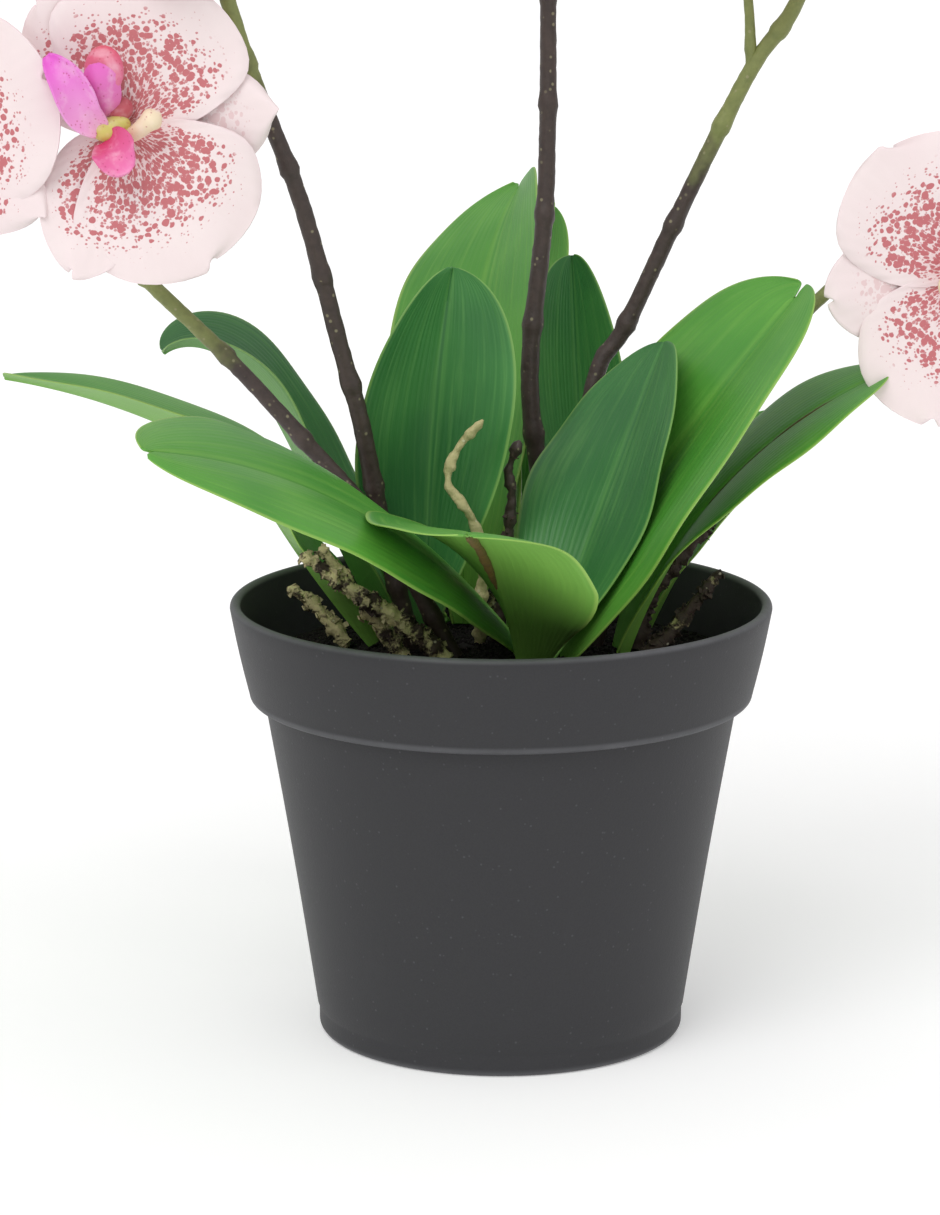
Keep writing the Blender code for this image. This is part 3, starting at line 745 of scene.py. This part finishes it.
# ---- Flower spikes -------------------------------------------------------------------------
# Five wire stems in a plastic bark, dark brown at the foot and olive above, with a knobbly
# joint every few centimetres where a bract or a side stem leaves. Points are in millimetres.
SPIKES = {
    "spike_left": dict(
        radii=(2.4, 1.5), greens=195,
        main=[(-12, -8, 106), (-32, -12, 143), (-55, -15, 171), (-74, -15, 192), (-92, -17, 210),
              (-106, -19, 224), (-125, -18, 236), (-150, -10, 258), (-172, -4, 290),
              (-184, 0, 322), (-188, 2, 348)],
        sides=[[(-106, -19, 224), (-104, -24, 240), (-99, -36, 256)],
               [(-125, -18, 236), (-142, -20, 243), (-155, -32, 252)],
               [(-172, -4, 290), (-184, -14, 308), (-196, -30, 322)]]),
    "spike_left_tall": dict(
        radii=(2.6, 1.6), greens=266,
        main=[(-24, 4, 106), (-32, 2, 138), (-38, -9, 172), (-44, -12, 196), (-54, -16, 235),
              (-67, -22, 271), (-75, -24, 300), (-84, -22, 345), (-90, -16, 390),
              (-90, -8, 435), (-84, 2, 475), (-74, 12, 508)],
        sides=[[(-67, -22, 271), (-79, -18, 279), (-94, -18, 296), (-108, -28, 318)],
               [(-84, -22, 345), (-76, -32, 358), (-66, -44, 368)],
               [(-90, -8, 435), (-102, -2, 446), (-114, -2, 452)]]),
    "spike_middle": dict(
        radii=(2.8, 1.6), greens=345,
        main=[(14, 37, 106), (12, 38, 140), (8, 39, 178), (12, 43, 222), (13, 47, 255),
              (13, 50, 290), (14, 52, 340), (13, 50, 390), (9, 44, 440), (2, 35, 485),
              (-8, 23, 525)],
        sides=[[(14, 52, 340), (24, 62, 352), (30, 78, 358)],
               [(13, 50, 390), (8, 41, 404), (4, 28, 412)],
               [(2, 35, 485), (14, 30, 494), (24, 18, 500)]]),
    "spike_right_tall": dict(
        radii=(2.6, 1.6), greens=240,
        main=[(19, 20, 106), (22, 29, 150), (27, 35, 180), (35, 36, 193), (52, 35, 230),
              (69, 33, 265), (82, 33, 285), (95, 34, 325), (104, 30, 370), (107, 24, 415),
              (102, 16, 455), (92, 6, 490)],
        sides=[[(69, 33, 265), (68, 33, 284), (65, 40, 302), (60, 53, 314)],
               [(95, 34, 325), (92, 22, 319), (92, 12, 316)],
               [(107, 24, 415), (118, 20, 424), (128, 13, 429)]]),
    "spike_right": dict(
        radii=(2.2, 1.5), greens=196,
        main=[(26, 8, 106), (36, 11, 140), (55, 13, 167), (80, 14, 196), (98, 14, 213),
              (114, 18, 226), (130, 23, 248), (139, 27, 274), (144, 31, 292), (150, 35, 299)],
        sides=[[(98, 14, 213), (114, 10, 216), (128, 2, 213)]]),
}
SIDE_RADII = (1.5, 1.1)
SPIKE_SIDES = 16
JOINT_GAP = 31 * MM


def smooth_path(points, step):
    """Points on a smooth curve through the given ones (millimetres), about a step apart."""
    knots = [Vector(point) * MM for point in points]
    ends = [knots[0] * 2 - knots[1]] + knots + [knots[-1] * 2 - knots[-2]]
    path = []
    for a, b, c, d in zip(ends, ends[1:], ends[2:], ends[3:]):
        count = max(1, round((c - b).length / step))
        for index in range(count):
            t = index / count
            point = (b * 2 + (c - a) * t + (a * 2 - b * 5 + c * 4 - d) * t * t
                     + (b * 3 - a - c * 3 + d) * t * t * t)
            path.append(point / 2)
    return path + [knots[-1]]


def knobbly(path, foot, tip, gap, first, swell):
    """Radii along a stem that swell at each joint: sharply below it, slowly above."""
    radii = []
    travelled = 0.0
    total = sum((b - a).length for a, b in zip(path, path[1:]))
    for index, place in enumerate(path):
        if index:
            travelled += (place - path[index - 1]).length
        share = travelled / total
        past = (travelled - first) % gap
        past = past - gap if past > gap / 2 else past
        if travelled < first - gap / 3:
            past = gap
        rise = math.exp(-(past / (1.1 * MM if past < 0 else 3.4 * MM)) ** 2)
        radii.append(foot + (tip - foot) * share + swell * rise)
    return radii


bark = Finish("stem_bark", Roughness=0.55)
bark_place = bark.place()
ripe = bark.mark("ripe")
bark_lumps = bark.noise(bark_place, 330, 4, 0.65)
bark_patches = bark.noise(bark_place, 95, 3, 0.6)
fleck_gap, fleck_kind = bark.cells(bark_place, 480)
flecks = fleck_gap.falling(0.12, 0.3) * fleck_kind.rising(0.55, 0.7)
ripeness = (ripe + (bark_patches - 0.5) * 0.9).rising(0.25, 0.75)
brown = bark.blend(bark_lumps, tone("241b1a"), tone("54453f"))
olive = bark.blend(bark_lumps, tone("67703c"), tone("949a5c"))
bark_colour = bark.blend(ripeness, brown, olive)
bark_colour = bark.blend(flecks * 0.55, bark_colour, tone("a39c7a"))
bark_colour = bark.blend(bark_patches.rising(0.62, 0.74) * 0.5, bark_colour, tone("33281f"))
stem_bark = bark.paint(bark_colour, 0.42 + bark_lumps * 0.2, bark_lumps + bark_patches * 0.5,
                       0.0005, 0.7)

for number, (node, spike) in enumerate(SPIKES.items()):
    stem = Skin()
    path = smooth_path(spike["main"], 1.6 * MM)
    radii = knobbly(path, spike["radii"][0] * MM, spike["radii"][1] * MM, JOINT_GAP,
                    14 * MM + number * 5 * MM, 0.6 * MM)
    greens = spike["greens"] * MM
    stem.loft(tube_rings(path, radii, SPIKE_SIDES, 0.09, number * 3.0),
              ripe=[min(max((place.z - greens) / (40 * MM) + 0.5, 0), 1) for place in path])
    for points in spike["sides"]:
        path = smooth_path(points, 1.4 * MM)
        radii = knobbly(path, SIDE_RADII[0] * MM, SIDE_RADII[1] * MM, 16 * MM, 6 * MM, 0.35 * MM)
        stem.loft(tube_rings(path, radii, 12, 0.10, number * 5.0),
                  ripe=[min(max((place.z - greens) / (40 * MM) + 0.6, 0), 1) for place in path])
    stem.piece(f"{node}_bark", stem_bark, "stem", [node])


# ---- Aerial roots and short shoot ----------------------------------------------------------
# Stubby wired roots that leave the crown, with a cream and olive skin and dark bark peeling
# off it in flakes, and one short dark shoot with a bent tip.
ROOTS = {
    "root_upright": dict(radii=(1.5, 0.9), dark=0.15, points=[
        (-6, 7, 107), (-5.5, 4, 121), (-5, -3, 136), (-9, -8, 148), (-14.5, -8.5, 156),
        (-12, -8.5, 165.5), (-5, -10, 174)]),
    "root_left_1": dict(radii=(2.7, 1.5), dark=0.45, points=[
        (-15, -17, 108), (-21, -15, 114), (-31, -14, 121), (-43, -13, 129), (-55, -12, 137)]),
    "root_left_2": dict(radii=(2.0, 1.3), dark=0.40, points=[
        (-27, -8, 107.5), (-34, -8, 117), (-42, -8, 128), (-50, -7, 138)]),
    "root_left_3": dict(radii=(1.8, 1.3), dark=0.45, points=[
        (-43, 9, 107.2), (-48, 11, 113), (-53, 13, 118), (-60, 15, 122)]),
    "root_right_1": dict(radii=(2.8, 1.6), dark=0.80, points=[
        (37, 2, 107), (40, 7, 120), (46, 9, 128), (55, 11, 139), (65, 13, 151), (76, 15, 164)]),
    "root_right_2": dict(radii=(1.9, 1.2), dark=0.75, points=[
        (40, -9, 107.4), (47, -5, 114), (54, 1, 121), (61, 6, 129)]),
    "root_behind": dict(radii=(2.2, 1.3), dark=0.5, points=[
        (0, 40, 107.6), (-8, 47, 115), (-17, 54, 119), (-29, 59, 121)]),
    "short_shoot": dict(radii=(1.8, 1.0), dark=1.0, points=[
        (-1, 9, 107), (1, 4, 132), (2, 3, 140), (3, 1, 152), (2, 0, 158), (5, -3, 167)]),
}


def root_finish(name, bare, peel):
    root = Finish(name, Roughness=0.8)
    place = root.place()
    dark = root.mark("dark")
    lumps = root.noise(place, 420, 4, 0.7)
    patches = root.noise(place, 150, 4, 0.65)
    crust = (patches + dark * 0.55 - 0.3).rising(0.42, 0.52)
    colour = root.blend(lumps, tone(bare), tone("d9cfa0"))
    colour = root.blend(patches.rising(0.55, 0.7) * 0.6, colour, tone("8c8a4c"))
    colour = root.blend(crust, colour, root.blend(lumps, tone(peel), tone("4a3a2c")))
    gap, kind = root.cells(place, 520)
    flecks = gap.falling(0.1, 0.28) * kind.rising(0.72, 0.8)
    colour = root.blend(flecks * 0.7, colour, tone("e6dfc4"))
    return root.paint(colour, 0.6 + lumps * 0.3, lumps + crust * 0.7, 0.0008, 0.9)


root_skin = root_finish("root_skin", "a79d68", "1d1713")
bark_chips = root_finish("bark_chips", "6e5f3e", "16110e")

for number, (node, root) in enumerate(ROOTS.items()):
    path = smooth_path(root["points"], 0.9 * MM)
    radii = knobbly(path, root["radii"][0] * MM, root["radii"][1] * MM, 11 * MM, 4 * MM,
                    0.55 * MM)
    radii[-1] = 0.35 * MM
    radii[-2] = 0.8 * radii[-2]
    strand = Skin()
    strand.loft(tube_rings(path, radii, 14, 0.55, number * 7.0),
                dark=[root["dark"]] * len(path), ripe=[0.0] * len(path))
    shoot = node == "short_shoot"
    made = strand.piece(f"{node}_skin", stem_bark if shoot else root_skin,
                        "stem" if shoot else "root", [node])
    if node != "root_upright":
        chips = scatter(made.data.copy(), f"{node}_chips", "GeometryNodeMeshCube",
                        {"Size": (1.0, 0.62, 0.16)}, bark_chips,
                        {"Density": 40000.0 if shoot else 160000.0, "Smallest": 0.9 * MM,
                         "Largest": 2.6 * MM})
        if len(chips.vertices):
            settle(f"{node}_chips", chips, bark_chips)


# ---- Blossoms ------------------------------------------------------------------------------
# Fourteen moulded blossoms: three sepals behind two broad petals, all of thin printed foam,
# pale pink with rose spots that run out from the centre in rows. They face where they grow.
FLOWERS = [
    dict(stem=(-99, -36, 256), faces=(0.0, -1, 0.10), roll=-83),
    dict(stem=(-155, -32, 252), faces=(-0.15, -1, 0.05), roll=0),
    dict(stem=(-196, -30, 322), faces=(-0.80, -0.70, 0.10), roll=0),
    dict(stem=(-108, -28, 318), faces=(-0.45, -0.90, 0.15), roll=0),
    dict(stem=(-66, -44, 368), faces=(0.30, -1, 0.05), roll=10),
    dict(stem=(-114, -2, 452), faces=(-1, 0.10, 0.10), roll=-8),
    dict(stem=(30, 78, 358), faces=(0.25, 1, 0.15), roll=0),
    dict(stem=(4, 28, 412), faces=(-0.10, -1, 0.10), roll=-5),
    dict(stem=(24, 18, 500), faces=(0.45, -0.90, 0.25), roll=8),
    dict(stem=(60, 53, 314), faces=(0.10, 1, 0.05), roll=0),
    dict(stem=(92, 12, 316), faces=(0.05, -1, 0.05), roll=5),
    dict(stem=(128, 13, 429), faces=(0.85, -0.60, 0.10), roll=0),
    dict(stem=(128, 2, 213), faces=(0.05, -1, 0.05), roll=100),
    dict(stem=(150, 35, 299), faces=(0.80, 0.50, 0.40), roll=10),
]
# Each lobe: its direction, length and width in millimetres, stand and amount of spots.
LOBES = [
    dict(points=90, length=40, width=30, stand=-1.3, spots=0.30, waist=0.50,
         belly=1.15, sweep=0),
    dict(points=210, length=40, width=29, stand=-1.6, spots=0.80, waist=0.52,
         belly=0.95, sweep=-2),
    dict(points=330, length=40, width=29, stand=-1.0, spots=0.80, waist=0.52,
         belly=0.95, sweep=2),
    dict(points=157, length=42, width=52, stand=0.5, spots=1.0, waist=0.48,
         belly=1.12, sweep=-2),
    dict(points=23, length=42, width=52, stand=0.9, spots=1.0, waist=0.48,
         belly=1.12, sweep=2),
]
LOBE_ROWS = 22
LOBE_COLUMNS = 9
FOAM_WALL = 0.28 * MM


def flower_place(flower):
    """Turns local Z to where the flower faces, with local Y up, then rolls it."""
    facing = Vector(flower["faces"]).normalized()
    side = Vector((0, 0, 1)).cross(facing).normalized()
    turn = Matrix((side, facing.cross(side), facing)).transposed()
    turn = turn @ Matrix.Rotation(math.radians(flower["roll"]), 3, "Z")
    place = Vector(flower["stem"]) * MM + facing * 1.45 * MM
    return Matrix.Translation(place) @ turn.to_4x4()


def lobe_grid(lobe, phase):
    """Points of a lobe, with each one's way along, its turn off the middle and its margin."""
    length = lobe["length"] * MM
    grid, reach_marks, turn_marks, margin_marks = [], [], [], []
    heading = math.radians(lobe["points"])
    out = Vector((math.cos(heading), math.sin(heading), 0))
    aside = Vector((-math.sin(heading), math.cos(heading), 0))
    for row in range(LOBE_ROWS + 1):
        share = 0.01 + 0.988 * (1 - math.cos(math.pi * row / LOBE_ROWS)) / 2
        bell = math.sin(math.pi * share ** lobe["belly"]) ** lobe["waist"]
        width = lobe["width"] * MM / 2 * max(bell, 0.03)
        points, reaches, turns, margins = [], [], [], []
        for column in range(-LOBE_COLUMNS, LOBE_COLUMNS + 1):
            across = column / LOBE_COLUMNS
            frill = 1 + 0.022 * math.sin(share * 11 + phase) * abs(across)
            x = share * length * (1 + 0.03 * math.sin(across * 2.5 + phase) * share)
            y = across * width * frill + lobe["sweep"] * MM * share ** 2
            far = math.hypot(x, y)
            lift = 5.2 * MM * (far / length) ** 1.7 - 2.2 * MM * across ** 2 * share
            lift += (1.25 * MM * math.sin(share * 7 + across * 2.4 + phase) * abs(across) ** 2
                     + 0.7 * MM * math.sin(share * 4 + phase * 2) * share)
            lift -= 0.55 * MM * math.exp(-(across / 0.10) ** 2) * (1 - share)
            points.append(out * x + aside * y
                          + Vector((0, 0, lift + lobe["stand"] * MM * (1 - 0.3 * share))))
            reaches.append(far / MM)
            turns.append(math.atan2(y, x) + lobe["points"])
            margins.append(min(width * (1 - abs(across)), length * (1 - share)) / MM)
        grid.append(points)
        reach_marks.append(reaches)
        turn_marks.append(turns)
        margin_marks.append(margins)
    return grid, dict(reach=reach_marks, turn=turn_marks, margin=margin_marks)


petal = Finish("petal_print", Roughness=0.5, Specular_IOR_Level=0.35)
reach = petal.mark("reach")
turn = petal.mark("turn")
margin = petal.mark("margin")
spots = petal.mark("spots")
behind = petal.mark("below")
petal_place = petal.place()
wash = petal.noise(petal_place, 60, 2, 0.5)
jitter = petal.noise(petal_place, 300, 2, 0.5)
rows = petal.vector(reach * 0.60 + jitter * 1.1, turn * 13.0 + wash * 2.0, spots * 3.0)
dot_gap, dot_kind = petal.cells(rows, 1.0, 0.9)
small = petal.vector(reach * 0.95 + jitter, turn * 22.0, 5.0)
small_gap, small_kind = petal.cells(small, 1.0, 0.95)
fade = reach.falling(22.0, 39.0) * margin.rising(1.0, 7.0)
size = (0.10 + 0.56 * fade) * (0.62 + 0.52 * dot_kind)
dots = (size - dot_gap).rising(0.0, 0.07) * fade.rising(0.15, 0.5)
fine_size = (0.12 + 0.42 * fade) * (0.5 + 0.7 * small_kind)
fine_dots = (fine_size - small_gap).rising(0.0, 0.10) * fade.rising(0.01, 0.10)
printed = petal.maths("MAXIMUM", dots, fine_dots * 0.85)
printed = printed * spots.rising(0.05, 0.80) * (1 - behind * 0.8)
blush = reach.falling(4.0, 20.0) * 0.32 * spots
pale = petal.blend(wash, tone("ecdadb"), tone("f3e6e5"))
pale = petal.blend(blush, pale, tone("e3a3ab"))
pale = petal.blend(margin.falling(0.0, 1.2) * 0.35, pale, tone("f6e3e6"))
petal_colour = petal.blend(printed * 0.90, pale, tone("bf5a61"))
veins = petal.maths("SINE", turn * 60.0) * 0.3
petal_print = petal.paint(petal_colour, 0.45 + wash * 0.12, veins + wash + jitter * 0.3,
                          0.00025, 0.45)

for number, flower in enumerate(FLOWERS, 1):
    place = flower_place(flower)
    blossom = Skin()
    for order, lobe in enumerate(LOBES):
        grid, marks = lobe_grid(lobe, number * 1.3 + order * 2.1)
        grid = [[place @ point for point in points] for points in grid]
        marks["spots"] = [[lobe["spots"]] * len(points) for points in grid]
        walls = [[FOAM_WALL] * len(points) for points in grid]
        points, faces, spread = shell(grid, walls, walls, marks, 0.2 * MM)
        blossom.join(points, faces, **spread)
    blossom.piece(f"blossom_{number:02d}", petal_print, "petal", [f"flower_{number:02d}"])


# ---- Lips ----------------------------------------------------------------------------------
# The centre of a blossom, moulded in one: two magenta lobes against a rose dome, a hot pink
# lobe on the other side, a speckled yellow callus and the cream column above them.
def blob(centre, sizes, lean, colour, tip_colour):
    """An egg of the lip in flower-local millimetres; lean turns it about Z, in degrees."""
    rings, shades = [], []
    turn = Matrix.Rotation(math.radians(lean), 3, "Z")
    for ring in range(11):
        pitch = math.pi * (0.03 + 0.94 * ring / 10)
        points = []
        for side in range(16):
            angle = math.tau * side / 16
            point = Vector((-math.cos(pitch) * sizes[0],
                            math.sin(pitch) * math.cos(angle) * sizes[1],
                            math.sin(pitch) * math.sin(angle) * sizes[2]))
            points.append((turn @ point + Vector(centre)) * MM)
        rings.append(points)
        share = ring / 10
        shades.append(tuple(a + (b - a) * share for a, b in zip(tone(colour), tone(tip_colour))))
    return rings, shades


def tongue(path, widths, cup, colour, tip_colour, wall=0.35):
    """A spoon-shaped lobe of the lip along a path, in flower-local millimetres."""
    points = smooth_path(path, 1.0 * MM)
    grid, shades = [], []
    for index, middle in enumerate(points):
        share = index / (len(points) - 1)
        ahead = points[min(index + 1, len(points) - 1)] - points[max(index - 1, 0)]
        aside = Vector((0, 0, 1)).cross(ahead).normalized()
        up = ahead.cross(aside).normalized()
        bell = math.sin(math.pi * (0.12 + 0.86 * share)) ** 0.6
        width = (widths[0] + (widths[1] - widths[0]) * share) * MM / 2 * bell
        line_of = []
        for column in range(-6, 7):
            across = column / 6
            line_of.append(middle + aside * width * across
                           + up * (cup * MM * across ** 2 * bell))
        grid.append(line_of)
        shade = tuple(a + (b - a) * share for a, b in zip(tone(colour), tone(tip_colour)))
        shades.append([shade] * len(line_of))
    walls = [[wall * MM] * 13 for _ in grid]
    return shell(grid, walls, walls, dict(tint=shades), 0.2 * MM)


lip_paint = Finish("lip_print", Roughness=0.45, Specular_IOR_Level=0.45)
tint = lip_paint.mark("tint", "Color").socket
lip_place = lip_paint.place()
lip_wash = lip_paint.noise(lip_place, 200, 3, 0.6)
lip_gap, lip_kind = lip_paint.cells(lip_place, 900)
lip_specks = lip_gap.falling(0.12, 0.32) * lip_kind.rising(0.5, 0.6)
lip_colour = lip_paint.blend(lip_wash.rising(0.45, 0.75) * 0.35, tint, tone("fbe3ee"))
lip_colour = lip_paint.blend(lip_specks * 0.5, lip_colour, tone("b32a4d"))
lip_print = lip_paint.paint(lip_colour, 0.36 + lip_wash * 0.2, lip_wash, 0.0003, 0.5)

LIP_BLOBS = [
    dict(centre=(-0.5, -2.8, 4.2), sizes=(3.2, 5.2, 2.8), lean=12, colour="d6d77a",
         tip_colour="cdbb5e"),
    dict(centre=(-5.5, -0.5, 3.2), sizes=(3.4, 4.0, 2.6), lean=-12, colour="b8505c",
         tip_colour="c2606a"),
    dict(centre=(-15.6, -2.6, 7.4), sizes=(6.6, 5.2, 3.4), lean=-6, colour="dd4a62",
         tip_colour="e48ab2"),
]
LIP_TONGUES = [
    dict(path=[(-1, -6, 5), (-5, -9, 8.5), (-10, -10.5, 11), (-15, -12.5, 12.5),
               (-21, -16.5, 12)], widths=(9, 11), cup=3.4, colour="f0b4dc", tip_colour="e85fd2"),
    dict(path=[(-4, -5, 5), (-8, -3.6, 9), (-13, -4.0, 12), (-17.5, -4.5, 12.6)],
         widths=(7, 12), cup=-3.0, colour="dd7fb4", tip_colour="e86ac6"),
    dict(path=[(2.5, -4.5, 5), (5.0, -2.5, 8.5), (8.0, -1.0, 10.5), (10.5, 1.5, 10.5)],
         widths=(11, 12), cup=2.8, colour="cf2f66", tip_colour="f27fbb"),
]
COLUMN = [(2.2, 1.0, 3.5), (1.0, 4.0, 6.6), (-1.0, 7.2, 8.4), (-3.0, 10.6, 9.0)]

for number, flower in enumerate(FLOWERS, 1):
    place = flower_place(flower)
    lip = Skin()
    for row in LIP_BLOBS:
        rings, shades = blob(**row)
        lip.loft([[place @ point for point in ring] for ring in rings], tint=shades,
                 below=[0.0] * len(rings))
    for row in LIP_TONGUES:
        points, faces, spread = tongue(**row)
        lip.join([place @ point for point in points], faces, **spread)
    path = smooth_path(COLUMN, 0.7 * MM)
    radii = []
    for step in range(len(path)):
        share = step / (len(path) - 1)
        swell = 0.75 * math.exp(-((share - 0.8) / 0.14) ** 2)
        radii.append((1.9 + 0.8 * share + swell) * MM * math.sqrt(max(1 - share ** 8, 0.04)))
    lip.loft([[place @ point for point in ring] for ring in tube_rings(path, radii, 14)],
             tint=[tone("f2dfbf")] * len(path), below=[0.0] * len(path))
    lip.piece(f"lip_{number:02d}", lip_print, "lip", [f"flower_{number:02d}_lip"])


# ---- Buds ----------------------------------------------------------------------------------
# A closed bud ends each main stem: three folded sepals meet in shallow seams, greenish at
# the stalk and blushed with pink towards the point.
BUDS = [
    dict(stem=(-188, 2, 348), points=(-0.15, 0.10, 1)),
    dict(stem=(-74, 12, 508), points=(0.25, 0.25, 1)),
    dict(stem=(-8, 23, 525), points=(-0.25, -0.30, 1)),
    dict(stem=(92, 6, 490), points=(-0.25, -0.25, 1)),
]
bud_paint = Finish("bud_skin", Roughness=0.5)
swelling = bud_paint.mark("height")
bud_wash = bud_paint.noise(bud_paint.place(), 260, 3, 0.6)
bud_colour = bud_paint.blend((swelling + bud_wash * 0.5).rising(0.35, 1.1), tone("9aa262"),
                             tone("e3b3b0"))
bud_colour = bud_paint.blend(bud_wash.rising(0.55, 0.7) * 0.35, bud_colour, tone("c07c80"))
bud_skin = bud_paint.paint(bud_colour, 0.42 + bud_wash * 0.15, bud_wash, 0.0003, 0.5)

for number, row in enumerate(BUDS, 1):
    aim = Vector(row["points"]).to_track_quat("Z", "Y").to_matrix().to_4x4()
    place = Matrix.Translation(Vector(row["stem"]) * MM) @ aim
    rings = []
    for ring in range(22):
        share = ring / 21
        width = 5.0 * MM * math.sin(math.pi * (0.04 + 0.94 * share ** 0.9)) ** 0.8
        points = []
        for side in range(30):
            angle = math.tau * side / 30
            seam = 1 - 0.09 * math.exp(-((angle % (math.tau / 3) - math.tau / 6) / 0.16) ** 2)
            points.append(place @ Vector((width * seam * math.cos(angle),
                                          width * seam * math.sin(angle),
                                          (0.1 + 15.2 * share) * MM)))
        rings.append(points)
    bud = Skin()
    bud.loft(rings, height=[ring / 21 for ring in range(22)])
    bud.piece(f"bud_{number}_skin", bud_skin, "bud", [f"bud_{number}"])
